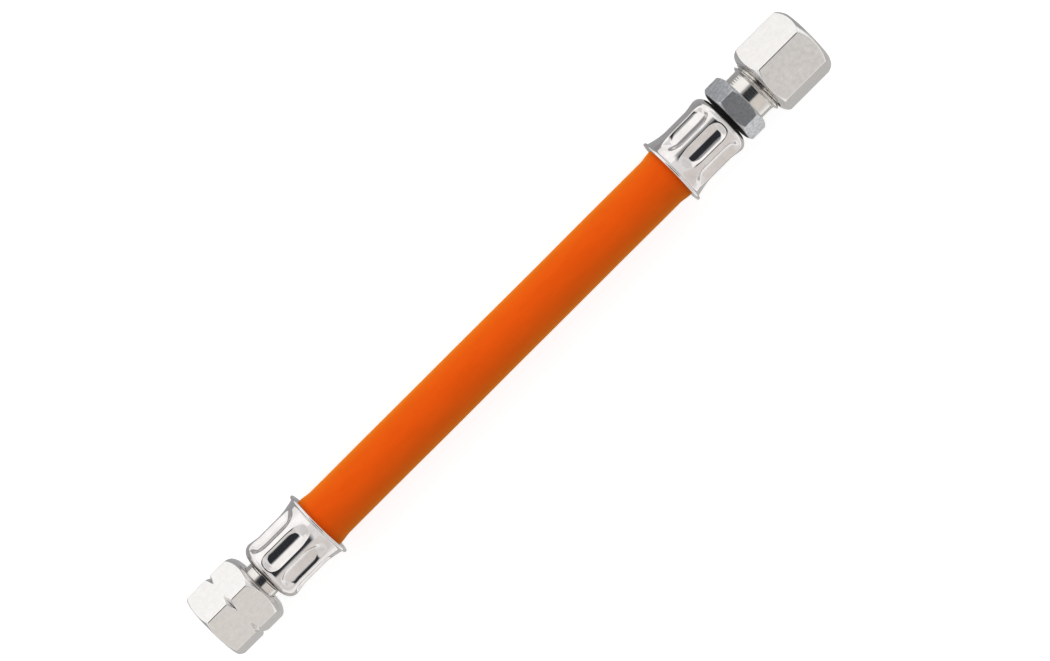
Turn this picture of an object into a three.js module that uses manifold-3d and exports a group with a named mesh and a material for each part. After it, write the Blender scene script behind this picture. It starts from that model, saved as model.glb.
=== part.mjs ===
// Flexible gas hose with two crimped end fittings, in millimetres, +Z up.
// The hose lies along X on the lips of its ferrules, with the floor at Z = 0 and X = 0 halfway along.
// -X end: a swivel union nut with left-hand gas thread, held on a coned nipple.
// +X end: a threaded stud with a cutting ring and a union nut, which grip a plain tube.
import * as THREE from 'three';
import { mergeVertices } from 'three/addons/utils/BufferGeometryUtils.js';
import Module from 'manifold-3d';

const wasm = await Module();
wasm.setup();

// Play between pieces that seat on each other
const seatGap = 0.3;
const coneGap = 0.2; // cutting ring in its cone, at right angles to the cone
const threadPlay = 0.2; // between the crest of the stud's thread and the union nut's bore

// Hose
const freeHose = 114.2; // rubber between the mouths of the two ferrules
const hoseBore = 6.3;
const hoseWall = 3.4;
const mouthSwell = 0.35; // the squeezed rubber stands proud at a ferrule's mouth
const swellRun = 3.2; // and slims down over this length

// Ferrule, a drawn sheet cap that is crimped over the hose
const ferruleLength = 18;
const ferruleWall = 0.8;
const cornerRun = 2.1; // rounded corner at the closed end, along the axis
const cornerRise = 2.6; // and across it
const shoulderBulge = 0.35; // the corner stands proud of the straight wall
const shoulderRun = 3.4;
const flareRun = 5.1; // the wall opens gently before the lip
const flareRise = 0.7;
const lipRun = 1.3; // the lip turns outwards at the mouth
const lipRise = 0.8;

// Crimp, pressed into each ferrule by jaws that stand round it
const crimpCount = 8;
const crimpDepth = 0.95;
const crimpMargin = 1.7; // from the closed end to the outline of a pressed panel
const crimpLength = 14; // outline of a panel along the axis
const crimpRampIn = 1.8; // slope at the closed end
const crimpRampOut = 3.0; // slope at the mouth end
const crimpEdge = THREE.MathUtils.degToRad(17); // half width of a panel, which is hollow across
const swivelCrimpTurn = THREE.MathUtils.degToRad(27.5);
const studCrimpTurn = THREE.MathUtils.degToRad(9.8);

// Barbed tail that both fittings push into the hose
const gasBore = 4.3;
const barbCount = 4;
const barbStretch = 0.3; // a barb's crest beyond the hose's bore
const barbDepth = 0.4;
const barbLand = 0.25; // share of a barb's pitch that is plain
const tailLength = 16.4; // from the ferrule's closed end to the tip
const neckDiameter = 9.1;
const grooveDepth = 0.85; // for the ferrule's inward flange
const stopCollar = 1.0; // the hose is pushed up to this collar

// Swivel end, gas thread 1/4 inch left-hand
const gasMajor = 13.157;
const gasMinor = 11.445;
const swivelFlats = 17;
const swivelRearWall = 2.6; // turns on the nipple's neck and pulls on its head
const swivelThreadDepth = 6.85; // thread that is free in front of the nipple
const headLength = 2.4;
const noseLength = 3.0;
const noseTip = 6.6;
const noseHalfAngle = THREE.MathUtils.degToRad(30);
const neckShown = 1.85; // neck between the nut and the ferrule
const markDepth = 1.1; // V groove across the corners, the sign of a left-hand thread
const markWidth = 1.6;
const markPlace = 7.75; // from the nut's mouth
const swivelTurn = THREE.MathUtils.degToRad(28.1); // direction of a corner, from +Z towards +Y

// Stud end, for an 8 mm tube
const tubeDiameter = 8;
const tubePlay = 0.05;
const studFlats = 14;
const hexGap = 0.55; // between the ferrule's closed end and the hexagon
const studHexLength = 5.55;
const reliefDiameter = 12;
const reliefLength = 3.2;
const studThread = 14;
const studThreadDepth = 0.81; // of the mating thread, crest to root
const studThreadLength = 10.9;
const studEndChamfer = 0.8;
const socketDepth = 10;
const coneLength = 5.2;
const coneHalfAngle = THREE.MathUtils.degToRad(12);
const studTurn = THREE.MathUtils.degToRad(41.5);

// Cutting ring
const ringTip = 0.3; // thickness of the cutting edge
const ringStandOff = 0.5; // from the stud's end to the ring's collar
const ringCollar = 2.2;
const ringBack = 0.6; // thickness of the ring's back edge

// Union nut
const unionFlats = 17;
const unionShoulder = 1.95; // wall round the tube in front of the seat
const unionHolePlay = 0.2;
const threadShown = 1.8; // thread between the relief and the nut
const unionTurn = THREE.MathUtils.degToRad(31.55);

// End chamfers of the hexagons: radius at the end face, as a share of half the width across flats,
// and length along the axis
const swivelMouthChamfer = { share: 0.953, run: 1.1 };
const swivelRearChamfer = { share: 0.86, run: 2.2 };
const unionRearChamfer = { share: 0.9, run: 1.8 };
const unionFaceChamfer = { share: 0.86, run: 2.2 };
const studChamfer = { share: 0.95, run: 0.95 };
const threadLeadIn = 0.9;

// Facets
const sheetSteps = 56; // round a ferrule, seven to each pressed panel
const roundSteps = 48; // round the hose and the nuts
const hiddenSteps = 36; // round the pieces that are mostly covered
const curveSteps = 2; // along each curve of the ferrule's sheet, twice that round its corner
const chamferSteps = 3;

// Worked out from the above
const hoseRadius = hoseBore / 2 + hoseWall;
const ferruleRadius = hoseRadius + seatGap + ferruleWall;
const lipRadius = ferruleRadius + flareRise + lipRise;
const neckRadius = neckDiameter / 2;
const grooveRadius = neckRadius - grooveDepth;
const grooveEnd = ferruleWall + seatGap;
const collarEnd = grooveEnd + stopCollar;
const barbCrest = hoseBore / 2 + barbStretch;
const barbRoot = barbCrest - barbDepth;
const hoseStart = collarEnd + seatGap;
const ferruleSpan = 2 * ferruleLength + freeHose;
const tubeBore = tubeDiameter / 2 + tubePlay;
const coneMouth = tubeBore + coneLength * Math.tan(coneHalfAngle);
const swivelLength = swivelThreadDepth + noseLength + headLength + seatGap + swivelRearWall;
const reliefStart = hexGap + studHexLength;
const threadStart = reliefStart + reliefLength;
const studEnd = threadStart + studThreadLength;
const unionRear = threadStart + threadShown;
const ringCollarRadius = studThread / 2 - studThreadDepth - coneGap;
const unionHole = tubeBore + unionHolePlay;
// The seat in the union nut is a 45 degree cone, seatGap behind the ring's collar
const seatSum = studEnd + ringStandOff + ringCollar + ringCollarRadius + seatGap * Math.SQRT2;
const seatEnd = seatSum - unionHole;
const unionLength = seatEnd + unionShoulder - unionRear;
const totalLength = swivelLength + neckShown + ferruleSpan + unionRear + unionLength;
const swivelMouth = -totalLength / 2;
const swivelPlane = swivelMouth + swivelLength + neckShown; // closed end of the swivel side's ferrule
const studPlane = swivelPlane + ferruleSpan; // closed end of the stud side's ferrule

// Finishes
const brightZinc = { color: 0xd4d2cf, roughness: 0.35, metalness: 0.9 };
const darkZinc = { color: 0xacafb2, roughness: 0.4, metalness: 0.9 };
const brightSheet = { color: 0xe2e2e6, roughness: 0.12, metalness: 1 };
const plainSteel = { color: 0xbcbcba, roughness: 0.45, metalness: 0.9 };
const orangeRubber = { color: 0xd85a0a, roughness: 0.75, metalness: 0 };

// A closed mesh with only positions, shared vertices and no empty triangles
function weld(geometry) {
  geometry.deleteAttribute('normal');
  geometry.deleteAttribute('uv');
  const merged = mergeVertices(geometry, 1e-5);
  const index = merged.index.array;
  const kept = [];
  for (let i = 0; i < index.length; i += 3) {
    const [a, b, c] = [index[i], index[i + 1], index[i + 2]];
    if (a !== b && b !== c && c !== a) kept.push(a, b, c);
  }
  merged.setIndex(kept);
  return merged;
}

// Turns an outline of [x, radius] points round the X axis. The outline closes on itself.
function revolve(outline, steps = roundSteps) {
  const points = outline.map(([x, radius]) => new THREE.Vector2(radius, x));
  if (THREE.ShapeUtils.area(points) < 0) points.reverse();
  points.push(points[0].clone());
  return weld(new THREE.LatheGeometry(points, steps).rotateZ(-Math.PI / 2));
}

// Joins and cuts are made on solids and turned back into a mesh
function toSolid(geometry) {
  const mesh = new wasm.Mesh({
    numProp: 3,
    vertProperties: Float32Array.from(geometry.attributes.position.array),
    triVerts: Uint32Array.from(geometry.index.array),
  });
  return new wasm.Manifold(mesh);
}

function toGeometry(solid) {
  const mesh = solid.getMesh();
  const geometry = new THREE.BufferGeometry();
  geometry.setAttribute('position', new THREE.BufferAttribute(mesh.vertProperties, 3));
  geometry.setIndex(new THREE.BufferAttribute(mesh.triVerts, 1));
  return geometry;
}

// A convex chamfer from the end face of a hexagon bar out to its corners
function chamferCurve(chamfer, flats, corner) {
  const face = (chamfer.share * flats) / 2;
  const start = new THREE.Vector2(0, face);
  const bend = new THREE.Vector2(chamfer.run * 0.3, face + (corner - face) * 0.6);
  const end = new THREE.Vector2(chamfer.run, corner);
  return new THREE.QuadraticBezierCurve(start, bend, end).getPoints(chamferSteps);
}

// A hexagon bar from x = 0 to length with both ends turned down, and a corner towards +Z
function hexBar(flats, length, nearChamfer, farChamfer) {
  const corner = flats / Math.sqrt(3);
  const prism = new THREE.CylinderGeometry(corner, corner, length, 6);
  prism.rotateZ(-Math.PI / 2).translate(length / 2, 0, 0);
  const near = chamferCurve(nearChamfer, flats, corner * 1.005).map((p) => [p.x, p.y]);
  const far = chamferCurve(farChamfer, flats, corner * 1.005).map((p) => [length - p.x, p.y]);
  const turned = revolve([[0, 0], ...near, ...far.reverse(), [length, 0]]);
  return toSolid(weld(prism)).intersect(toSolid(turned));
}

// Depth of the crimp at a distance from the ferrule's closed end, and at an angle from a panel's middle
function crimpAt(distance, angle) {
  const fromStart = (distance - crimpMargin) / crimpRampIn;
  const fromEnd = (crimpMargin + crimpLength - distance) / crimpRampOut;
  const along = THREE.MathUtils.smoothstep(Math.min(fromStart, fromEnd), 0, 1);
  const pitch = (2 * Math.PI) / crimpCount;
  const off = Math.abs(angle - pitch * Math.round(angle / pitch));
  const across = 1 - Math.min((off / crimpEdge) ** 2, 1);
  return crimpDepth * along * across;
}

// Presses every point outside a radius inwards by the crimp's depth
function press(geometry, distanceAt, turn, outside = 0) {
  const place = geometry.attributes.position;
  for (let i = 0; i < place.count; i++) {
    const [x, y, z] = [place.getX(i), place.getY(i), place.getZ(i)];
    const radius = Math.hypot(y, z);
    if (radius < outside) continue;
    const scale = 1 - crimpAt(distanceAt(x), Math.atan2(y, z) - turn) / radius;
    place.setXYZ(i, x, y * scale, z * scale);
  }
  return geometry;
}

// Middle of the ferrule's sheet, from the edge of its inward flange to the edge of its lip
function sheetLine() {
  const wall = ferruleRadius - ferruleWall / 2;
  const corner = wall + shoulderBulge;
  const face = ferruleWall / 2;
  const shoulderEnd = face + cornerRun + shoulderRun;
  const lipStart = ferruleLength - lipRun;
  const line = new THREE.Path();
  line.moveTo(face, grooveRadius + seatGap);
  line.lineTo(face, corner - cornerRise);
  line.absellipse(
    face + cornerRun, corner - cornerRise, cornerRun, cornerRise, Math.PI, Math.PI / 2, true,
  );
  line.bezierCurveTo(
    face + cornerRun + shoulderRun * 0.4, corner, shoulderEnd - shoulderRun * 0.4, wall, shoulderEnd, wall,
  );
  line.lineTo(lipStart - flareRun, wall);
  line.quadraticCurveTo(lipStart - flareRun / 2, wall, lipStart, wall + flareRise);
  line.quadraticCurveTo(
    lipStart + lipRun * 0.5, wall + flareRise + lipRise * 0.25,
    ferruleLength - ferruleWall / 2, lipRadius - ferruleWall * 0.25,
  );
  return line.getPoints(curveSteps);
}

// Sheet of even wall along a line: each point moves half a wall to both sides
function sheetOutline(line, wall) {
  const sides = [[], []];
  line.forEach((point, i) => {
    const before = line[Math.max(i - 1, 0)];
    const after = line[Math.min(i + 1, line.length - 1)];
    const along = after.clone().sub(before).normalize();
    sides[0].push([point.x - (along.y * wall) / 2, point.y + (along.x * wall) / 2]);
    sides[1].push([point.x + (along.y * wall) / 2, point.y - (along.x * wall) / 2]);
  });
  return [...sides[0], ...sides[1].reverse()];
}

// Closed end at x = 0, mouth towards +X
function makeFerrule() {
  return press(revolve(sheetOutline(sheetLine(), ferruleWall), sheetSteps), (x) => x, 0);
}

// Groove, stop collar and barbs, from the fitting to the tail's tip. x = 0 is the ferrule's closed end,
// and the groove starts a gap before it.
function tailOutline(gap) {
  const outline = [
    [-gap, grooveRadius],
    [grooveEnd, grooveRadius],
    [grooveEnd, neckRadius],
    [collarEnd, neckRadius],
  ];
  const pitch = (tailLength - collarEnd) / barbCount;
  for (let i = 0; i < barbCount; i++) {
    const back = collarEnd + i * pitch;
    outline.push([back, barbRoot], [back + barbLand * pitch, barbRoot], [back + barbLand * pitch, barbCrest]);
  }
  outline.push([tailLength, barbRoot]);
  return outline;
}

// Coned nose and head inside the nut, neck, and barbed tail towards +X
function makeSwivelNipple() {
  const headRear = -(neckShown + swivelRearWall + seatGap);
  const headFront = headRear - headLength;
  const headRadius = gasMinor / 2 - seatGap;
  const noseBase = noseTip / 2 + noseLength * Math.tan(noseHalfAngle);
  return revolve([
    [headFront - noseLength, gasBore / 2],
    [headFront - noseLength, noseTip / 2],
    [headFront, noseBase],
    [headFront, headRadius],
    [headRear, headRadius],
    [headRear, neckRadius],
    [-seatGap, neckRadius],
    ...tailOutline(seatGap),
    [tailLength, gasBore / 2],
  ], hiddenSteps);
}

// Mouth at x = 0
function makeSwivelNut() {
  const corner = swivelFlats / Math.sqrt(3);
  const bar = hexBar(swivelFlats, swivelLength, swivelMouthChamfer, swivelRearChamfer);
  const bore = revolve([
    [-1, 0],
    [-1, gasMajor / 2],
    [0, gasMajor / 2],
    [threadLeadIn, gasMinor / 2],
    [swivelLength - swivelRearWall, gasMinor / 2],
    [swivelLength - swivelRearWall, neckRadius + seatGap],
    [swivelLength + 1, neckRadius + seatGap],
    [swivelLength + 1, 0],
  ]);
  const mark = revolve([
    [markPlace, corner - markDepth],
    [markPlace - markWidth, corner + markDepth],
    [markPlace + markWidth, corner + markDepth],
  ]);
  return toGeometry(bar.subtract(toSolid(bore)).subtract(toSolid(mark)));
}

// Barbed tail towards +X, hexagon, relief and thread towards -X, with the tube's socket in the end
function makeThreadedStud() {
  const crest = studThread / 2;
  const turned = revolve([
    [-studEnd, 0],
    [-studEnd, crest - studEndChamfer],
    [studEndChamfer - studEnd, crest],
    [-threadStart, crest],
    [-threadStart, reliefDiameter / 2],
    [-hexGap, reliefDiameter / 2],
    ...tailOutline(hexGap),
    [tailLength, 0],
  ], hiddenSteps);
  const hexagon = hexBar(studFlats, studHexLength, studChamfer, studChamfer);
  const bore = revolve([
    [-studEnd - 1, 0],
    [-studEnd - 1, coneMouth],
    [-studEnd, coneMouth],
    [coneLength - studEnd, tubeBore],
    [socketDepth - studEnd, tubeBore],
    [socketDepth - studEnd, gasBore / 2],
    [tailLength + 1, gasBore / 2],
    [tailLength + 1, 0],
  ], hiddenSteps);
  const whole = toSolid(turned).add(hexagon.rotate([-THREE.MathUtils.radToDeg(studTurn), 0, 0])
    .translate([-reliefStart, 0, 0]));
  return toGeometry(whole.subtract(toSolid(bore)));
}

// Rubber with a smooth bore, opened over the barbed tails and squeezed under both ferrules.
// x = 0 is the closed end of the swivel side's ferrule.
function makeHose() {
  const stretched = barbCrest + seatGap;
  const tipClear = tailLength + seatGap;
  const outer = [
    [hoseStart, hoseRadius],
    [crimpMargin + crimpRampIn, hoseRadius],
    [crimpMargin + crimpLength - crimpRampOut, hoseRadius],
    [crimpMargin + crimpLength - crimpRampOut / 2, hoseRadius],
    [crimpMargin + crimpLength, hoseRadius + mouthSwell / 2],
    [ferruleLength, hoseRadius + mouthSwell],
    [ferruleLength + swellRun / 3, hoseRadius + mouthSwell / 3],
    [ferruleLength + swellRun, hoseRadius],
  ];
  const inner = [
    [hoseStart, stretched],
    [tipClear, stretched],
    [tipClear + swellRun, hoseBore / 2],
  ];
  const mirror = ([x, radius]) => [ferruleSpan - x, radius];
  const outline = [
    ...outer, ...outer.map(mirror).reverse(), ...inner.map(mirror), ...inner.slice().reverse(),
  ];
  const middle = (hoseRadius + stretched) / 2;
  const rubber = press(revolve(outline), (x) => x, swivelCrimpTurn, middle);
  return press(rubber, (x) => ferruleSpan - x, studCrimpTurn, middle);
}

// x = 0 is the stud's end face. The nose lies in the stud's cone, and the back in the union nut's seat.
function makeCuttingRing() {
  const coneLine = (x) => coneMouth + x * Math.tan(coneHalfAngle) - coneGap / Math.cos(coneHalfAngle);
  const tipDepth = (coneLine(0) - tubeBore - ringTip) / Math.tan(coneHalfAngle);
  const collarRear = ringStandOff + ringCollar;
  const backRadius = tubeBore + ringBack;
  return revolve([
    [-tipDepth, tubeBore],
    [-tipDepth, tubeBore + ringTip],
    [ringStandOff, coneLine(ringStandOff)],
    [ringStandOff, ringCollarRadius],
    [collarRear, ringCollarRadius],
    [collarRear + ringCollarRadius - backRadius, backRadius],
    [collarRear + ringCollarRadius - backRadius, tubeBore],
  ], hiddenSteps);
}

// Thread side at x = 0, tube hole in the far face
function makeUnionNut() {
  const bar = hexBar(unionFlats, unionLength, unionRearChamfer, unionFaceChamfer);
  const boreRadius = studThread / 2 + threadPlay;
  const bore = revolve([
    [-1, 0],
    [-1, boreRadius],
    [seatSum - unionRear - boreRadius, boreRadius],
    [seatEnd - unionRear, unionHole],
    [unionLength - unionHolePlay, unionHole],
    [unionLength, unionHole + unionHolePlay],
    [unionLength + 1, unionHole + unionHolePlay],
    [unionLength + 1, 0],
  ]);
  return toGeometry(bar.subtract(toSolid(bore)));
}

// A named mesh on the hose's axis, at x and turned so that its +Z points turn from +Z towards +Y
function piece(name, geometry, finish, x, turn = 0) {
  const shaded = geometry.toNonIndexed();
  shaded.computeVertexNormals();
  const mesh = new THREE.Mesh(shaded, new THREE.MeshStandardMaterial(finish));
  mesh.name = name;
  mesh.position.x = x;
  mesh.rotation.x = -turn;
  return mesh;
}

// The same, turned end for end, so that it points along -X
function facingBack(mesh) {
  mesh.rotation.z = Math.PI;
  return mesh;
}

const swivelEnd = new THREE.Group();
swivelEnd.add(
  piece('swivel_nut', makeSwivelNut(), brightZinc, swivelMouth, swivelTurn),
  piece('swivel_nipple', makeSwivelNipple(), plainSteel, swivelPlane),
  piece('swivel_ferrule', makeFerrule(), brightSheet, swivelPlane, swivelCrimpTurn),
);

const studEndGroup = new THREE.Group();
studEndGroup.add(
  facingBack(piece('stud_ferrule', makeFerrule(), brightSheet, studPlane, studCrimpTurn)),
  facingBack(piece('threaded_stud', makeThreadedStud(), darkZinc, studPlane)),
  piece('cutting_ring', makeCuttingRing(), plainSteel, studPlane + studEnd),
  piece('union_nut', makeUnionNut(), brightZinc, studPlane + unionRear, unionTurn),
);

const group = new THREE.Group();
group.add(swivelEnd, piece('hose', makeHose(), orangeRubber, swivelPlane), studEndGroup);
group.position.z = lipRadius;

export default group;
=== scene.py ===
import math

import bpy
import numpy as np
from mathutils import Matrix, Vector


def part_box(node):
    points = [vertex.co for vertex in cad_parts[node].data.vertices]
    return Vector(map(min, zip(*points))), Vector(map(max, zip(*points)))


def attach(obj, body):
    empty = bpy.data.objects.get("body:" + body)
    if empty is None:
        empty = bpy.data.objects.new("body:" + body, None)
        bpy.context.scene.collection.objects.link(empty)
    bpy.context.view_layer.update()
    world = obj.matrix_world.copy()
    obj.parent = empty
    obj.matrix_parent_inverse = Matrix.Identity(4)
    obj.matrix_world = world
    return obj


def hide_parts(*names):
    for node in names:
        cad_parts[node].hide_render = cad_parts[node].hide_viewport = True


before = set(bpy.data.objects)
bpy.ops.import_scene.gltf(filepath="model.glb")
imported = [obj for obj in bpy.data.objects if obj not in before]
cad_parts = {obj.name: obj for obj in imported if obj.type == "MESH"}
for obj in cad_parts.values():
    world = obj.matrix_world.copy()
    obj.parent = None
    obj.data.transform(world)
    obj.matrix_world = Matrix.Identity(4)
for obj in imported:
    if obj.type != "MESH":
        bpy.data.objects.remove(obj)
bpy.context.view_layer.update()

mm = 0.001


# Places along the hose's axis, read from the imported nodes
def ends(node):
    low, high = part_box(node)
    return low.x, high.x


swivelMouth, swivelRear = ends("swivel_nut")
swivelPlane, swivelLip = ends("swivel_ferrule")
_, studPlane = ends("stud_ferrule")
ringTip, ringEnd = ends("cutting_ring")
unionRear, unionFace = ends("union_nut")
studTailTip, studEnd = ends("threaded_stud")
nipTip, nipTailTip = ends("swivel_nipple")
hoseLeft, hoseRight = ends("hose")
axisHeight = (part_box("swivel_nut")[0].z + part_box("swivel_nut")[1].z) / 2


# Camera

camera = {
    "tilt": 17.5,  # degrees off the vertical, towards +Y
    "distance": 0.95,
    "scale": 4.32,  # photograph pixels to the millimetre at the hose
    "imageWidth": 1050,
    "hoseAngle": 44.92,  # degrees, the hose's rise to the right in the picture
    "aimAlong": 2.7 * mm,  # the point it looks at, from the middle of the hose
    "aimAcross": 2.1 * mm,
    "nearest": 0.05,
    "farthest": 20,
}


def makeCamera(values):
    tilt = math.radians(values["tilt"])
    turn = math.radians(values["hoseAngle"])
    back = Vector((0, math.sin(tilt), math.cos(tilt)))
    along = Vector((1, 0, 0))
    across = Vector((0, -math.cos(tilt), math.sin(tilt)))  # towards the picture's lower right
    right = along * math.cos(turn) + across * math.sin(turn)
    up = along * math.sin(turn) - across * math.cos(turn)
    aim = Vector((values["aimAlong"], 0, axisHeight)) + across * values["aimAcross"]
    data = bpy.data.cameras.new("camera")
    width = values["imageWidth"] / values["scale"] * mm
    data.lens = data.sensor_width * values["distance"] / width
    data.clip_start = values["nearest"]
    data.clip_end = values["farthest"]
    body = bpy.data.objects.new("camera", data)
    bpy.context.scene.collection.objects.link(body)
    spin = Matrix((right, up, back)).transposed().to_4x4()
    body.matrix_world = Matrix.Translation(aim + back * values["distance"]) @ spin
    bpy.context.scene.camera = body


makeCamera(camera)
print("camera placed")


# Shapes. Every piece is a stack of rings round the hose's axis that closes on itself.

# stations holds (x, radius) pairs; either may be one number or one for each angle.
# Edges of more than sharp degrees stay hard.
def ringPiece(name, stations, angles, body, node, sharp=32):
    count = len(angles)
    xs = np.array([np.broadcast_to(x, count) for x, _ in stations])
    radii = np.array([np.broadcast_to(radius, count) for _, radius in stations])
    points = np.stack([xs, radii * np.sin(angles), axisHeight + radii * np.cos(angles)], -1)
    rows = len(stations)
    i, j = np.meshgrid(np.arange(rows), np.arange(count), indexing="ij")
    nextRow, nextColumn = (i + 1) % rows, (j + 1) % count
    here, there = i * count, nextRow * count
    faces = np.stack([here + j, there + j, there + nextColumn, here + nextColumn], -1)
    mesh = bpy.data.meshes.new(name)
    mesh.from_pydata(points.reshape(-1, 3).tolist(), [], faces.reshape(-1, 4).tolist())
    mesh.polygons.foreach_set("use_smooth", [True] * len(mesh.polygons))
    mesh.set_sharp_from_angle(angle=math.radians(sharp))
    mesh.update()
    piece = bpy.data.objects.new(name, mesh)
    bpy.context.scene.collection.objects.link(piece)
    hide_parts(node)
    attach(piece, body)
    return piece


def evenAngles(count):
    return np.arange(count) * 2 * math.pi / count


# Angles that crowd towards the six corners of a hexagon, twice perSide of them to a corner
def hexAngles(cornerTurn, perSide=24, crowding=1.8):
    half = math.radians(30)
    u = np.arange(-perSide, perSide) / perSide
    offsets = half * np.sign(u) * np.abs(u) ** crowding
    return np.concatenate([cornerTurn + k * 2 * half + offsets for k in range(6)])


# The smaller of two values, with the corner between them rounded over blend
def smoothMin(a, b, blend):
    h = np.clip(0.5 + 0.5 * (b - a) / blend, 0, 1)
    return b + (a - b) * h - blend * h * (1 - h)


# From 0 at low to 1 at high, level at both ends
def smoothStep(value, low, high):
    t = np.clip((value - low) / (high - low), 0, 1)
    return t * t * (3 - 2 * t)


# Radius of a hexagon with slightly rounded corners
def hexRadius(angles, flats, cornerTurn, rounding):
    sixth = math.radians(60)
    off = np.abs(angles - cornerTurn - sixth * np.round((angles - cornerTurn) / sixth))
    flat = flats / 2 / np.cos(sixth / 2 - off)
    centre = (flats / 2 - rounding) / math.cos(sixth / 2)
    arc = centre * np.cos(off) + np.sqrt(np.maximum(rounding**2 - (centre * np.sin(off)) ** 2, 0))
    return np.where(centre * np.sin(off) < rounding * math.sin(sixth / 2) * 0.999, arc, flat)


# Rounds every corner of a closed outline of (x, radius) points, by at most radius.
# most is the share of a side that one corner may take.
def fillet(outline, radius, steps=3, most=0.45):
    rounded = []
    count = len(outline)
    for i, point in enumerate(outline):
        here = np.array(point, float)
        before = np.array(outline[i - 1], float) - here
        after = np.array(outline[(i + 1) % count], float) - here
        reach = min(radius, np.linalg.norm(before) * most, np.linalg.norm(after) * most)
        start = here + before / np.linalg.norm(before) * reach
        end = here + after / np.linalg.norm(after) * reach
        for t in np.linspace(0, 1, steps + 1):
            rounded.append(tuple(start * (1 - t) ** 2 + here * 2 * t * (1 - t) + end * t * t))
    return rounded


# Adds points so that no step of an open outline is longer than longest
def refine(outline, longest):
    points = [outline[0]]
    for start, end in zip(outline, outline[1:]):
        count = max(1, math.ceil(math.dist(start, end) / longest))
        for k in range(1, count + 1):
            points.append(tuple(np.array(start) + (np.array(end) - np.array(start)) * k / count))
    return points


# A curve of one bend, which leaves start and reaches end in the direction of bend
def bezier(start, bend, end, steps):
    t = np.linspace(0, 1, steps + 1)[:, None]
    start, bend, end = np.array(start), np.array(bend), np.array(end)
    return [tuple(p) for p in start * (1 - t) ** 2 + bend * 2 * t * (1 - t) + end * t**2]


# Depth below the crest of a 60 degree thread, as a share of its full depth. hand is 1 or -1.
# crest and root are the shares of half a pitch where the flank starts and ends.
def threadShape(x, angles, pitch, hand, crest=0.12, root=0.92):
    phase = np.mod(x / pitch + hand * angles / (2 * math.pi), 1)
    rise = np.abs(phase - 0.5) * 2
    return smoothStep(rise, crest, root)


# Materials

def newMaterial(name):
    material = bpy.data.materials.new(name)
    material.use_nodes = True
    tree = material.node_tree
    shader = tree.nodes["Principled BSDF"]
    coords = tree.nodes.new("ShaderNodeTexCoord")
    return material, tree, shader, coords


# links holds (socket, source) pairs, and options are properties of the node
def addNode(tree, kind, links=(), **options):
    node = tree.nodes.new(kind)
    for key, value in options.items():
        setattr(node, key, value)
    for socket, source in links:
        tree.links.new(source, node.inputs[socket])
    return node


# Maps a noise value, which seldom leaves the range from fromLow to fromHigh, to low and high
def spread(tree, source, low, high, fromLow=0.3, fromHigh=0.7):
    node = addNode(tree, "ShaderNodeMapRange", [("Value", source)])
    node.inputs["From Min"].default_value = fromLow
    node.inputs["From Max"].default_value = fromHigh
    node.inputs["To Min"].default_value = low
    node.inputs["To Max"].default_value = high
    return node.outputs["Result"]


def noise(tree, vector, scale, detail=4, rough=0.55):
    node = addNode(tree, "ShaderNodeTexNoise", [("Vector", vector)])
    node.inputs["Scale"].default_value = scale
    node.inputs["Detail"].default_value = detail
    node.inputs["Roughness"].default_value = rough
    return node.outputs["Fac"]


def stretched(tree, vector, scale):
    node = addNode(tree, "ShaderNodeMapping", [("Vector", vector)])
    node.inputs["Scale"].default_value = scale
    return node.outputs["Vector"]


def mixColours(tree, share, first, second):
    node = tree.nodes.new("ShaderNodeMix")
    node.data_type = "RGBA"
    tree.links.new(share, node.inputs["Factor"])
    node.inputs["A"].default_value = (*first, 1)
    node.inputs["B"].default_value = (*second, 1)
    return node.outputs["Result"]


def bump(tree, height, distance, strength=1.0, under=None):
    node = addNode(tree, "ShaderNodeBump", [("Height", height)])
    node.inputs["Distance"].default_value = distance
    node.inputs["Strength"].default_value = strength
    if under is not None:
        tree.links.new(under, node.inputs["Normal"])
    return node.outputs["Normal"]


# Bright and dull colour, gloss, and the heights of the grain and the scratches in metres.
# clouds is how fine the changes of colour are, to the metre.
metals = {
    "brightZinc": {
        "bright": (0.745, 0.73, 0.715), "dull": (0.695, 0.68, 0.665),
        "roughness": 0.17, "clouds": 800, "grain": 5e-6, "scratch": 0,
    },
    "brightSheet": {
        "bright": (0.73, 0.71, 0.705), "dull": (0.62, 0.595, 0.58),
        "roughness": 0.09, "clouds": 260, "grain": 0, "scratch": 0,
    },
    "darkZinc": {
        "bright": (0.76, 0.775, 0.80), "dull": (0.40, 0.41, 0.425),
        "roughness": 0.34, "clouds": 1300, "grain": 3e-5, "scratch": 2.5e-5,
    },
    "turnedZinc": {
        "bright": (0.68, 0.66, 0.63), "dull": (0.62, 0.60, 0.575),
        "roughness": 0.15, "clouds": 500, "grain": 2e-6, "scratch": 0,
    },
    "plainSteel": {
        "bright": (0.56, 0.56, 0.545), "dull": (0.50, 0.50, 0.49),
        "roughness": 0.28, "clouds": 500, "grain": 3e-6, "scratch": 0,
    },
}
grainScale = 2600  # to the metre
scratchScale = (500, 5200, 5200)  # long along the hose's axis


# A plated, drawn or turned metal: cloudy colour and gloss, fine grain, and scratches if it has any
def metalMaterial(name, values):
    material, tree, shader, coords = newMaterial(name)
    place = coords.outputs["Object"]
    clouds = noise(tree, place, values["clouds"], 5, 0.6)
    specks = noise(tree, place, grainScale, 3, 0.6)
    colour = mixColours(tree, spread(tree, clouds, 0, 1), values["bright"], values["dull"])
    gloss = spread(tree, clouds, values["roughness"] * 0.85, values["roughness"] * 1.2)
    shader.inputs["Metallic"].default_value = 1
    tree.links.new(colour, shader.inputs["Base Color"])
    tree.links.new(gloss, shader.inputs["Roughness"])
    normal = bump(tree, specks, values["grain"])
    if values["scratch"]:
        lines = noise(tree, stretched(tree, place, scratchScale), 1, 2, 0.5)
        normal = bump(tree, lines, values["scratch"], 1, normal)
    tree.links.new(normal, shader.inputs["Normal"])
    return material


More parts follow.
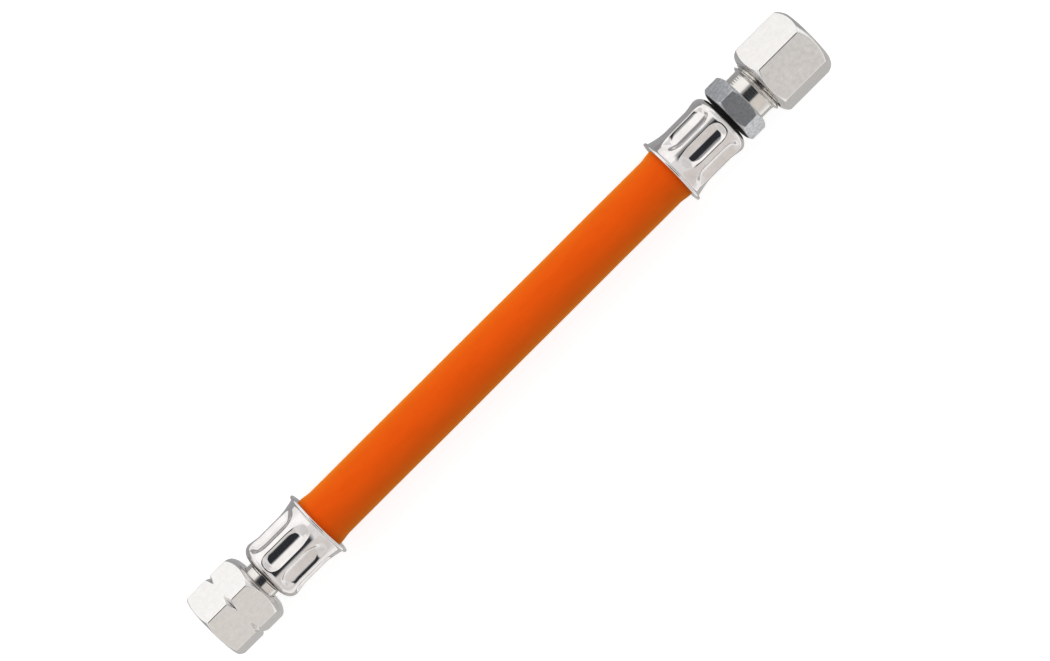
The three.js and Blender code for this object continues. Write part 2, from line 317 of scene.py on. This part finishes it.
rubber = {
    "bright": (0.71, 0.067, 0.002),
    "dull": (0.67, 0.061, 0.0015),
    "mottleScale": (120, 420, 420),  # to the metre
    "mottleHeight": 1e-5,
    "grainScale": 2400,
    "grainHeight": 8e-6,
    "roughness": (0.55, 0.75),
    "gloss": 0.03,
    "sheen": 0.58,
    "sheenRoughness": 0.6,
    "sheenTint": (1, 0.68, 0.04, 1),
}


def rubberMaterial(values):
    material, tree, shader, coords = newMaterial("orangeRubber")
    place = coords.outputs["Object"]
    mottle = noise(tree, stretched(tree, place, values["mottleScale"]), 1, 3, 0.5)
    grain = noise(tree, place, values["grainScale"], 4, 0.65)
    colour = mixColours(tree, spread(tree, mottle, 0, 1), values["bright"], values["dull"])
    tree.links.new(colour, shader.inputs["Base Color"])
    tree.links.new(spread(tree, grain, *values["roughness"]), shader.inputs["Roughness"])
    shader.inputs["Specular IOR Level"].default_value = values["gloss"]
    shader.inputs["Sheen Weight"].default_value = values["sheen"]
    shader.inputs["Sheen Roughness"].default_value = values["sheenRoughness"]
    shader.inputs["Sheen Tint"].default_value = values["sheenTint"]
    normal = bump(tree, mottle, values["mottleHeight"])
    tree.links.new(bump(tree, grain, values["grainHeight"], 1, normal), shader.inputs["Normal"])
    return material


# Painted shade: a near-black finish that stands in for the shadow in the gap beside the stud's
# hexagon
gapShade = {
    "dark": (0.012, 0.012, 0.012),
    "pale": (0.03, 0.028, 0.026),
    "scale": 2500,
    "roughness": 0.7,
}


def gapShadeMaterial(values):
    material, tree, shader, coords = newMaterial("gapShade")
    specks = noise(tree, coords.outputs["Object"], values["scale"], 3)
    colour = mixColours(tree, specks, values["dark"], values["pale"])
    tree.links.new(colour, shader.inputs["Base Color"])
    shader.inputs["Roughness"].default_value = values["roughness"]
    return material


finishes = {name: metalMaterial(name, values) for name, values in metals.items()}
finishes["orangeRubber"] = rubberMaterial(rubber)
finishes["gapShade"] = gapShadeMaterial(gapShade)
print("materials made")


def finish(piece, name):
    piece.data.materials.clear()
    piece.data.materials.append(finishes[name])


# Gives the faces that lie in a stretch of the axis a second finish
def finishBetween(piece, low, high, name):
    index = len(piece.data.materials)
    piece.data.materials.append(finishes[name])
    middles = np.zeros(len(piece.data.polygons) * 3)
    piece.data.polygons.foreach_get("center", middles)
    current = np.zeros(len(piece.data.polygons), int)
    piece.data.polygons.foreach_get("material_index", current)
    x = middles.reshape(-1, 3)[:, 0]
    chosen = np.where((x > low) & (x < high), index, current)
    piece.data.polygons.foreach_set("material_index", chosen)


# Ferrules

ferrule = {
    "length": 18 * mm,
    "wall": 0.8 * mm,
    "radius": 7.65 * mm,
    "hole": 4.0 * mm,
    "cornerRun": 2.1 * mm,
    "cornerRise": 2.6 * mm,
    "bulge": 0.35 * mm,
    "shoulderRun": 3.4 * mm,
    "flareRun": 5.1 * mm,
    "flareRise": 0.7 * mm,
    "lipRun": 1.3 * mm,
    "lipRise": 0.8 * mm,
    "rimBack": 0.64 * mm,  # the middle of the sheet at the lip's rim, back from the end
    "rimDrop": 0.44 * mm,  # and inwards from the floor that the lip lies on
    "crimpDepth": 1.12 * mm,
    "crimpStart": 1.7 * mm,
    "crimpEnd": 15.7 * mm,
    "rampIn": 1.8 * mm,
    "rampOut": 3.0 * mm,
    "startRound": 1.9 * mm,  # the panels' corners are rounded
    "endRound": 2.8 * mm,
    "edge": math.radians(18),  # half width of a panel
    "hollow": 0.9,  # share of a panel's depth that is a plain arc, the rest is in its steep walls
    "edgeBlend": 0.1,
    "panels": 8,
    "swivelTurn": math.radians(27.5),
    "studTurn": math.radians(9.8),
    "gapShade": 0.3 * mm,  # painted shade round the stud ferrule's closed end, beside the hexagon
    "step": 0.3 * mm,
    "cornerSteps": 13, "shoulderSteps": 14, "flareSteps": 18, "lipSteps": 14, "rimSteps": 6,
    "angles": 384,
}


# Depth of the crimp at a distance from the closed end, and at angles from a panel's middle
def crimpAt(values, distance, angles):
    pitch = 2 * math.pi / values["panels"]
    off = np.abs(angles - pitch * np.round(angles / pitch)) / values["edge"]
    corner = np.minimum(off, 1) ** 3
    fromStart = (distance - values["crimpStart"] - values["startRound"] * corner) / values["rampIn"]
    fromEnd = (values["crimpEnd"] - values["endRound"] * corner - distance) / values["rampOut"]
    along = smoothStep(np.minimum(fromStart, fromEnd), 0, 1)
    bowl = values["hollow"] * off**2 + (1 - values["hollow"]) * off**8
    across = 1 - smoothMin(bowl, 1, values["edgeBlend"])
    return values["crimpDepth"] * along * across


# The middle of the sheet, from the hole in the closed end to the lip's rim
def ferruleLine(values):
    wall = values["radius"] - values["wall"] / 2
    corner = wall + values["bulge"]
    face = values["wall"] / 2
    run, rise = values["cornerRun"], values["cornerRise"]
    shoulder = face + run + values["shoulderRun"]
    lip = values["length"] - values["lipRun"]
    line = refine([(face, values["hole"]), (face, corner - rise)], values["step"])
    turns = np.linspace(0, math.pi / 2, values["cornerSteps"] + 1)[1:]
    line += [(face + run * (1 - math.cos(t)), corner - rise + rise * math.sin(t)) for t in turns]
    for t in np.linspace(0, 1, values["shoulderSteps"] + 1)[1:]:
        x = face + run + values["shoulderRun"] * t
        line.append((x, corner - values["bulge"] * smoothStep(t, 0, 1)))
    line += refine([(shoulder, wall), (lip - values["flareRun"], wall)], values["step"])[1:]
    flareEnd = (lip, wall + values["flareRise"])
    bend = (lip - values["flareRun"] / 2, wall)
    line += bezier(line[-1], bend, flareEnd, values["flareSteps"])[1:]
    rim = (values["length"] - values["rimBack"], axisHeight - values["rimDrop"])
    bend = (lip + values["lipRun"] / 2, flareEnd[1] + values["lipRise"] / 4)
    line += bezier(line[-1], bend, rim, values["lipSteps"])[1:]
    return line


# Stations along the outside of a sheet, round its edge at the mouth, and back along the inside
def sheetStations(line, wall, rimSteps):
    line = np.array(line)
    along = np.gradient(line, axis=0)
    along /= np.linalg.norm(along, axis=1)[:, None]
    side = np.stack([-along[:, 1], along[:, 0]], -1) * wall / 2
    outside, inside = line + side, line - side
    mouth = [tuple(line[-1] + side[-1] * math.cos(t) + along[-1] * wall / 2 * math.sin(t))
             for t in np.linspace(0, math.pi, rimSteps + 1)[1:-1]]
    return [tuple(p) for p in outside] + mouth + [tuple(p) for p in inside[::-1]]


# towards is 1 where the ferrule opens to +X and -1 where it opens to -X
def makeFerrule(values, name, node, plane, towards, turn):
    angles = evenAngles(values["angles"])
    line = ferruleLine(values)
    stations = []
    for distance, radius in sheetStations(line, values["wall"], values["rimSteps"]):
        depth = crimpAt(values, distance, angles - turn)
        stations.append((plane + towards * distance, radius - depth))
    if towards < 0:
        stations = stations[::-1]
    piece = ringPiece(name, stations, angles, "root", node, sharp=40)
    finish(piece, "brightSheet")
    return piece


makeFerrule(ferrule, "swivelFerrule", "swivel_ferrule", swivelPlane, 1, ferrule["swivelTurn"])
studFerrule = makeFerrule(ferrule, "studFerrule", "stud_ferrule", studPlane, -1,
                          ferrule["studTurn"])
# Painted shade on the stud ferrule's closed end, where it meets the hexagon
finishBetween(studFerrule, studPlane - ferrule["gapShade"], studPlane + ferrule["gapShade"], "gapShade")
print("ferrules made")


# Hose

hose = {
    "radius": 6.55 * mm,
    "bore": 3.15 * mm,
    "stretched": 3.75 * mm,
    "swell": 0.35 * mm,
    "swellRun": 3.2 * mm,
    "waver": 0.03 * mm,
    "waves": ((2, 90, 0), (3, -170, 1.3)),  # lobes round the hose, twist to the metre, start
    "settle": 9 * mm,  # the wavering starts over this distance from a ferrule
    "tailClear": 0.3 * mm,
    "angles": 128,
    "step": 0.6 * mm,
    "boreStep": 2.5 * mm,
    "pathPoints": 25,
}


def makeHose(values):
    angles = evenAngles(values["angles"])
    length = ferrule["length"]
    ferrules = ((swivelPlane, 1, ferrule["swivelTurn"]), (studPlane, -1, ferrule["studTurn"]))
    waves = values["waves"]
    stations = []
    for x in np.append(np.arange(hoseLeft, hoseRight, values["step"]), hoseRight):
        radius = np.full(len(angles), values["radius"])
        free = 1
        for plane, towards, turn in ferrules:
            distance = (x - plane) * towards
            rise = smoothStep(distance, ferrule["crimpEnd"] - ferrule["rampOut"] / 2, length)
            fall = 1 - smoothStep(distance, length, length + values["swellRun"])
            radius = radius + values["swell"] * rise * fall
            radius = radius - crimpAt(ferrule, distance, angles - turn)
            free *= smoothStep(distance, length, length + values["settle"])
        waver = sum(np.sin(angles * lobes + x * twist + begin) for lobes, twist, begin in waves)
        stations.append((x, radius + values["waver"] * waver / len(waves) * free))
    clear = values["tailClear"]
    inner = [
        (hoseRight, values["stretched"]),
        (studTailTip - clear, values["stretched"]),
        (studTailTip - clear - values["swellRun"], values["bore"]),
        (nipTailTip + clear + values["swellRun"], values["bore"]),
        (nipTailTip + clear, values["stretched"]),
        (hoseLeft, values["stretched"]),
    ]
    stations += refine(inner, values["boreStep"])
    piece = ringPiece("rubberHose", stations, angles, "root", "hose")
    finish(piece, "orangeRubber")


makeHose(hose)
print("hose made")


# Nuts and stud

hexagons = {
    "swivel": {"flats": 17 * mm, "turn": math.radians(28.1), "round": 0.35 * mm},
    "union": {"flats": 17 * mm, "turn": math.radians(31.55), "round": 0.35 * mm},
    "stud": {"flats": 14 * mm, "turn": math.radians(41.5), "round": 0.2 * mm},
    "blend": 0.14 * mm,  # rounds the edge between the flats and the turned ends
    "markBlend": 0.1 * mm,
    "pastCorner": 1.01,  # the turned ends run out just past the corners
    "clear": 1.1,  # and the bar between them isn't turned at all
    "bendAlong": 0.3, "bendOut": 0.6,
    "step": 0.12 * mm, "firstStep": 0.1 * mm, "endSteps": 22,
}
nutEdge = 0.1 * mm  # small chamfers
swivelNut = {
    "mouthFace": 8.1 * mm, "mouthRun": 1.1 * mm,
    "rearFace": 7.31 * mm, "rearRun": 2.2 * mm,
    "major": 6.5785 * mm, "minor": 5.7225 * mm, "pitch": 1.337 * mm,
    "leadIn": 0.9 * mm, "rearWall": 2.6 * mm, "rearBore": 4.85 * mm,
    "threadEnd": 0.2 * mm, "mouthInset": 0.05 * mm,
    "markPlace": 7.75 * mm, "markWidth": 1.6 * mm, "markDepth": 1.1 * mm, "markFlat": 0.12 * mm,
    "boreStep": 0.8 * mm, "mouthStep": 0.4 * mm,
}
unionNut = {
    "rearFace": 7.65 * mm, "rearRun": 1.8 * mm,
    "face": 7.31 * mm, "faceRun": 2.2 * mm,
    "bore": 7.2 * mm, "pitch": 1.5 * mm, "threadDepth": 0.5 * mm,
    "hole": 4.25 * mm, "shoulder": 1.95 * mm, "holeChamfer": 0.2 * mm,
    "mouthChamfer": 0.08 * mm, "rearInset": 0.06 * mm,
    "threadStart": 0.2 * mm, "threadEnd": 0.6 * mm,  # clear of the mouth and of the seat
    "boreStep": 0.6 * mm,
}


# Outline of an end that is turned down to the radius face, as distance from the end and radius
def turnedEnd(face, run, corner):
    bend = (run * hexagons["bendAlong"], face + (corner - face) * hexagons["bendOut"])
    return bezier((0, face), bend, (run, corner), hexagons["endSteps"])


# Stations along the outside of a hexagon bar, with both ends turned down
def hexOutside(shape, angles, low, high, nearFace, nearRun, farFace, farRun, marks=None):
    corner = shape["flats"] / math.sqrt(3) * hexagons["pastCorner"]
    near = turnedEnd(nearFace, nearRun, corner)
    far = turnedEnd(farFace, farRun, corner)
    middle = np.arange(low + nearRun + hexagons["firstStep"], high - farRun, hexagons["step"])
    outline = [(low + s, radius) for s, radius in near]
    outline += [(x, corner * hexagons["clear"]) for x in middle]
    outline += [(high - s, radius) for s, radius in reversed(far)]
    hexagon = hexRadius(angles, shape["flats"], shape["turn"], shape["round"])
    stations = []
    for x, limit in outline:
        radius = smoothMin(hexagon, limit, hexagons["blend"])
        if marks is not None:
            radius = smoothMin(radius, marks(x), hexagons["markBlend"])
        stations.append((x, radius))
    return stations


# Stations of a threaded bore from x = high down to x = low, cut outwards from the bore's radius
def boreThread(angles, low, high, radius, depth, pitch, hand, steps=14):
    stations = []
    for x in np.arange(high, low, -pitch / steps):
        fade = smoothStep(x, low, low + pitch / 2) * (1 - smoothStep(x, high - pitch / 2, high))
        stations.append((x, radius + depth * fade * threadShape(x, angles, pitch, hand)))
    return stations


def makeSwivelNut(values, shape):
    angles = hexAngles(shape["turn"])
    corner = shape["flats"] / math.sqrt(3)
    groove = swivelMouth + values["markPlace"]
    slope = values["markDepth"] / (values["markWidth"] / 2)

    def marks(x):
        away = max(abs(x - groove) - values["markFlat"] / 2, 0)
        return corner - values["markDepth"] + away * slope

    stations = hexOutside(shape, angles, swivelMouth, swivelRear, values["mouthFace"],
                          values["mouthRun"], values["rearFace"], values["rearRun"], marks)
    shoulder = swivelRear - values["rearWall"]
    stations += refine([
        (swivelRear, values["rearFace"] - nutEdge),
        (swivelRear, values["rearBore"] + nutEdge),
        (swivelRear - nutEdge, values["rearBore"]),
        (shoulder, values["rearBore"]),
        (shoulder, values["minor"]),
    ], values["boreStep"])
    depth = values["major"] - values["minor"]
    stations += boreThread(angles, swivelMouth + values["leadIn"], shoulder - values["threadEnd"],
                           values["minor"], depth, values["pitch"], -1)
    stations += refine([
        (swivelMouth + values["leadIn"], values["minor"]),
        (swivelMouth, values["major"]),
        (swivelMouth, values["mouthFace"] - values["mouthInset"]),
    ], values["mouthStep"])
    piece = ringPiece("swivelNut", stations, angles, "swivel_nut", "swivel_nut")
    finish(piece, "brightZinc")


def makeUnionNut(values, shape):
    angles = hexAngles(shape["turn"])
    stations = hexOutside(shape, angles, unionRear, unionFace, values["rearFace"],
                          values["rearRun"], values["face"], values["faceRun"])
    seatEnd = unionFace - values["shoulder"]
    seatStart = seatEnd - (values["bore"] - values["hole"])
    stations += refine([
        (unionFace, values["face"] - nutEdge),
        (unionFace, values["hole"] + values["holeChamfer"]),
        (unionFace - values["holeChamfer"], values["hole"]),
        (seatEnd, values["hole"]),
        (seatStart, values["bore"]),
    ], values["boreStep"])
    stations += boreThread(angles, unionRear + values["threadStart"],
                           seatStart - values["threadEnd"], values["bore"],
                           values["threadDepth"], values["pitch"], 1)
    stations += [
        (unionRear + nutEdge, values["bore"]),
        (unionRear, values["bore"] + values["mouthChamfer"]),
        (unionRear, values["rearFace"] - values["rearInset"]),
    ]
    piece = ringPiece("unionNut", stations, angles, "union_nut", "union_nut")
    finish(piece, "brightZinc")


makeSwivelNut(swivelNut, hexagons["swivel"])
makeUnionNut(unionNut, hexagons["union"])
print("nuts made")

tail = {
    "groove": 3.7 * mm, "grooveEnd": 1.1 * mm, "collarEnd": 2.1 * mm, "neck": 4.55 * mm,
    "root": 3.05 * mm, "crest": 3.45 * mm, "length": 16.4 * mm,
    "barbs": 4, "land": 0.25, "bore": 2.15 * mm,
}


# Groove, collar and barbs from the fitting to the tip, as distance from the ferrule's closed end
def tailOutline(values, gap):
    outline = [(-gap, values["groove"]), (values["grooveEnd"], values["groove"]),
               (values["grooveEnd"], values["neck"]), (values["collarEnd"], values["neck"])]
    pitch = (values["length"] - values["collarEnd"]) / values["barbs"]
    for k in range(values["barbs"]):
        back = values["collarEnd"] + k * pitch
        land = back + values["land"] * pitch
        outline += [(back, values["root"]), (land, values["root"]), (land, values["crest"])]
    outline.append((values["length"], values["root"]))
    return outline


nipple = {
    "nose": 3.3 * mm, "noseBase": 5.03 * mm, "noseLength": 3.0 * mm,
    "head": 5.42 * mm, "headLength": 2.4 * mm, "gap": 0.3 * mm, "round": 0.12 * mm,
    "angles": 144,
}


def makeNipple(values):
    headFront = nipTip + values["noseLength"]
    headRear = headFront + values["headLength"]
    outline = [
        (nipTip, tail["bore"]), (nipTip, values["nose"]),
        (headFront, values["noseBase"]), (headFront, values["head"]), (headRear, values["head"]),
        (headRear, tail["neck"]), (swivelPlane - values["gap"], tail["neck"]),
    ]
    outline += [(swivelPlane + s, radius) for s, radius in tailOutline(tail, values["gap"])]
    outline.append((swivelPlane + tail["length"], tail["bore"]))
    piece = ringPiece("swivelNipple", fillet(outline, values["round"]),
                      evenAngles(values["angles"]), "root", "swivel_nipple")
    finish(piece, "turnedZinc")


stud = {
    "hexLength": 5.55 * mm, "gap": 0.55 * mm, "endFace": 6.65 * mm, "endRun": 0.95 * mm,
    "relief": 6.0 * mm, "reliefLength": 3.2 * mm, "thread": 7.0 * mm, "threadDepth": 0.92 * mm,
    "pitch": 1.5 * mm, "feed": 0.62 * mm, "feedDepth": 0.012 * mm, "endChamfer": 0.8 * mm,
    "socket": 4.05 * mm, "socketDepth": 10 * mm, "cone": 5.2 * mm, "coneMouth": 5.155 * mm,
    "round": 0.08 * mm, "leadSlope": 1.6,
    "shadeBehind": 1 * mm,  # painted shade reaches this far behind the ferrule's plane
    "shadeAhead": 0.2 * mm,  # and this far past the hexagon's face
    "perSide": 19, "turnedStep": 0.05 * mm, "firstStep": 0.02 * mm, "threadSteps": 20,
    "boreStep": 1.0 * mm,
}


def makeStud(values, shape):
    angles = hexAngles(shape["turn"], values["perSide"])
    hexLow = studPlane + values["gap"]
    hexHigh = hexLow + values["hexLength"]
    threadLow = hexHigh + values["reliefLength"]
    tip = studPlane - tail["length"]
    back = [(studPlane - s, radius) for s, radius in reversed(tailOutline(tail, values["gap"]))]
    stations = fillet(back, values["round"])[2:]  # without the half corner that would close it
    stations += hexOutside(shape, angles, hexLow, hexHigh, values["endFace"], values["endRun"],
                           values["endFace"], values["endRun"])
    for x in np.arange(hexHigh + values["firstStep"], threadLow, values["turnedStep"]):
        wave = np.sin(2 * math.pi * (x / values["feed"] - angles / (2 * math.pi)))
        stations.append((x, values["relief"] - values["feedDepth"] * (1 + wave)))
    for x in np.arange(threadLow, studEnd, values["pitch"] / values["threadSteps"]):
        lead = min(values["relief"] + (x - threadLow) * values["leadSlope"], values["thread"])
        chamfer = values["thread"] - max(0, x - studEnd + values["endChamfer"])
        below = threadShape(x - threadLow, angles, values["pitch"], 1)
        cut = values["thread"] - values["threadDepth"] * below
        stations.append((x, np.minimum(cut, min(lead, chamfer))))
    socketEnd = studEnd - values["socketDepth"]
    stations += refine([
        (studEnd, values["thread"] - values["endChamfer"]),
        (studEnd, values["coneMouth"]),
        (studEnd - values["cone"], values["socket"]),
        (socketEnd, values["socket"]),
        (socketEnd, tail["bore"]),
        (tip, tail["bore"]),
    ], values["boreStep"])
    piece = ringPiece("threadedStud", stations, angles, "root", "threaded_stud")
    finish(piece, "darkZinc")
    finishBetween(piece, hexHigh, math.inf, "turnedZinc")
    # Painted shade in the gap between the ferrule and the hexagon, and on the hexagon's face beside
    # it
    finishBetween(piece, studPlane - values["shadeBehind"], hexLow + values["shadeAhead"], "gapShade")


ring = {
    "tip": 0.3 * mm, "standOff": 0.5 * mm, "collar": 2.2 * mm, "radius": 5.99 * mm,
    "back": 0.6 * mm, "cone": math.radians(12), "round": 0.08 * mm, "angles": 128,
}


def makeRing(values):
    slope = math.tan(values["cone"])
    collar = studEnd + values["standOff"]
    outline = [
        (ringTip, stud["socket"]), (ringTip, stud["socket"] + values["tip"]),
        (collar, stud["socket"] + values["tip"] + (collar - ringTip) * slope),
        (collar, values["radius"]), (collar + values["collar"], values["radius"]),
        (ringEnd, stud["socket"] + values["back"]), (ringEnd, stud["socket"]),
    ]
    piece = ringPiece("cuttingRing", fillet(outline, values["round"]),
                      evenAngles(values["angles"]), "cutting_ring", "cutting_ring")
    finish(piece, "plainSteel")


makeNipple(nipple)
makeStud(stud, hexagons["stud"])
makeRing(ring)
print("nipple, stud and ring made")


# Studio: a pale floor, two lamps, and cards that only mirrored rays see.
# Angles go from +Z towards +Y.

studio = {
    "floor": (0.70, 0.70, 0.697),
    "floorSize": (8, 8),
    "floorLift": 0.60,  # the floor's own glow, for camera and mirrored rays
    "worldDiffuse": 0.65,
    "keyAngle": 68, "keyPower": 4.2, "keySize": (1.6, 2.4),
    "kickAngle": 62, "kickPower": 10.8, "kickSize": (1.2, 1.6),
    "lampDistance": 1.4,
    "fillAngle": -46, "fillDistance": 1.8,
    "fillSize": (2.3, 2.6), "fillColour": (0.90, 0.86, 0.83),
    "endDistance": 1.6, "endSize": (0.9, 2.4), "endColour": (0.88, 0.88, 0.88),
    # grey cards on the floor that only mirrored rays see, painted shade of the floor round the
    # pieces as the metal reflects it: x from and to, y from and to, colour
    "floorShadeCards": (
        (-0.135, 0.135, 0, 0.021, (0.44, 0.44, 0.45)),
        (0.055, 0.079, 0.021, 0.045, (0.36, 0.36, 0.37)),  # darker painted shade, beside the stud's hexagon
        (-0.135, 0.135, -0.04, 0, (0.58, 0.57, 0.56)),
    ),
    "underHeight": 0.0001,
    "cardPaint": (0.015, 0.015, 0.015, 1),  # the cards glow and hardly answer to the lamps
    "cardAngle": 19.5, "cardDistance": 2.3, "cardSize": (2.85, 2.4),
    "cardDark": (0.026, 0.030, 0.036), "cardEdge": (0.75, 0.75, 0.76),
    "cardFade": 0.74,  # share of the half width where the card starts to brighten
}


def direction(degrees):
    return Vector((0, math.sin(math.radians(degrees)), math.cos(math.radians(degrees))))


# Stands a lamp or a card at a place, with its -Z side towards the middle
def facingMiddle(place):
    return Matrix.Translation(place) @ place.to_track_quat("Z", "X").to_matrix().to_4x4()


def makeLamp(name, angle, power, size, mirrored=True):
    data = bpy.data.lights.new(name, "AREA")
    data.shape = "RECTANGLE"
    data.size, data.size_y = size
    data.energy = power
    lamp = bpy.data.objects.new(name, data)
    bpy.context.scene.collection.objects.link(lamp)
    lamp.matrix_world = facingMiddle(direction(angle) * studio["lampDistance"])
    lamp.visible_camera = False
    lamp.visible_glossy = mirrored


def makePlane(name, size, material):
    width, depth = size[0] / 2, size[1] / 2
    mesh = bpy.data.meshes.new(name)
    corners = [(-width, -depth, 0), (width, -depth, 0), (width, depth, 0), (-width, depth, 0)]
    mesh.from_pydata(corners, [], [(0, 1, 2, 3)])
    mesh.materials.append(material)
    plane = bpy.data.objects.new(name, mesh)
    bpy.context.scene.collection.objects.link(plane)
    return plane


# 1 for rays from the camera, mirrored rays and rays through glass, and 0 for the others
def seenDirectly(tree):
    path = tree.nodes.new("ShaderNodeLightPath")
    total = path.outputs["Is Camera Ray"]
    for kind in ("Is Glossy Ray", "Is Transmission Ray"):
        added = addNode(tree, "ShaderNodeMath", [(0, total), (1, path.outputs[kind])],
                        operation="ADD", use_clamp=True)
        total = added.outputs[0]
    return total


def floorMaterial():
    material, tree, shader, _ = newMaterial("paleFloor")
    shader.inputs["Base Color"].default_value = (*studio["floor"], 1)
    shader.inputs["Roughness"].default_value = 0.9
    shader.inputs["Specular IOR Level"].default_value = 0.1
    lift = addNode(tree, "ShaderNodeMath", [(0, seenDirectly(tree))], operation="MULTIPLY")
    lift.inputs[1].default_value = studio["floorLift"]
    shader.inputs["Emission Color"].default_value = (1, 1, 1, 1)
    tree.links.new(lift.outputs[0], shader.inputs["Emission Strength"])
    return material


# A card that glows in one colour
def cardMaterial(name, colour):
    material, _, shader, _ = newMaterial(name)
    shader.inputs["Base Color"].default_value = studio["cardPaint"]
    shader.inputs["Roughness"].default_value = 1
    shader.inputs["Specular IOR Level"].default_value = 0
    shader.inputs["Emission Color"].default_value = (*colour, 1)
    shader.inputs["Emission Strength"].default_value = 1
    return material


# A card that brightens towards its edges
def fadingCard(name, size, dark, edge, start):
    material = cardMaterial(name, dark)
    tree = material.node_tree
    coords = addNode(tree, "ShaderNodeTexCoord")
    middle = addNode(tree, "ShaderNodeSeparateXYZ", [(0, coords.outputs["Object"])])
    shares = []
    for axis, width in enumerate(size):
        reach = addNode(tree, "ShaderNodeMath", [(0, middle.outputs[axis])], operation="ABSOLUTE")
        share = addNode(tree, "ShaderNodeMapRange", [("Value", reach.outputs[0])],
                        interpolation_type="SMOOTHSTEP")
        share.inputs["From Min"].default_value = width / 2 * start
        share.inputs["From Max"].default_value = width / 2
        shares.append(share.outputs["Result"])
    fade = addNode(tree, "ShaderNodeMath", [(0, shares[0]), (1, shares[1])], operation="MAXIMUM")
    colour = mixColours(tree, fade.outputs[0], dark, edge)
    tree.links.new(colour, tree.nodes["Principled BSDF"].inputs["Emission Color"])
    return material


def mirroredOnly(card):
    card.visible_camera = False
    card.visible_diffuse = False
    card.visible_shadow = False


def makeCard(name, place, size, material):
    card = makePlane(name, size, material)
    card.matrix_world = facingMiddle(place)
    mirroredOnly(card)


def makeWorld():
    world = bpy.data.worlds.new("studio")
    bpy.context.scene.world = world
    world.use_nodes = True
    tree = world.node_tree
    tree.nodes.clear()
    plain = addNode(tree, "ShaderNodeBackground")
    plain.inputs["Strength"].default_value = studio["worldDiffuse"]
    white = addNode(tree, "ShaderNodeBackground")
    white.inputs["Strength"].default_value = 1
    for node in (plain, white):
        node.inputs["Color"].default_value = (1, 1, 1, 1)
    mix = addNode(tree, "ShaderNodeMixShader",
                  [(0, seenDirectly(tree)), (1, plain.outputs[0]), (2, white.outputs[0])])
    out = tree.nodes.new("ShaderNodeOutputWorld")
    tree.links.new(mix.outputs[0], out.inputs["Surface"])


makePlane("floor", studio["floorSize"], floorMaterial())
makeCard("darkCard", direction(studio["cardAngle"]) * studio["cardDistance"], studio["cardSize"],
         fadingCard("darkCard", studio["cardSize"], studio["cardDark"], studio["cardEdge"],
                    studio["cardFade"]))
makeCard("fillCard", direction(studio["fillAngle"]) * studio["fillDistance"], studio["fillSize"],
         cardMaterial("fillCard", studio["fillColour"]))
# Painted shade of the floor under the pieces, seen only in reflections
for xLow, xHigh, yLow, yHigh, colour in studio["floorShadeCards"]:
    size = (xHigh - xLow, yHigh - yLow)
    under = makePlane("floorShadeCard", size, cardMaterial("floorShadeCard", colour))
    under.location = ((xLow + xHigh) / 2, (yLow + yHigh) / 2, studio["underHeight"])
    mirroredOnly(under)
for side in (-1, 1):
    place = Vector((side * studio["endDistance"], 0, studio["endSize"][0] / 2))
    makeCard("endCard", place, studio["endSize"], cardMaterial("endCard", studio["endColour"]))
makeLamp("keyLamp", studio["keyAngle"], studio["keyPower"], studio["keySize"])
makeLamp("kickLamp", studio["kickAngle"], studio["kickPower"], studio["kickSize"], False)
makeWorld()
bpy.context.scene.view_settings.view_transform = "Standard"
print("studio made")
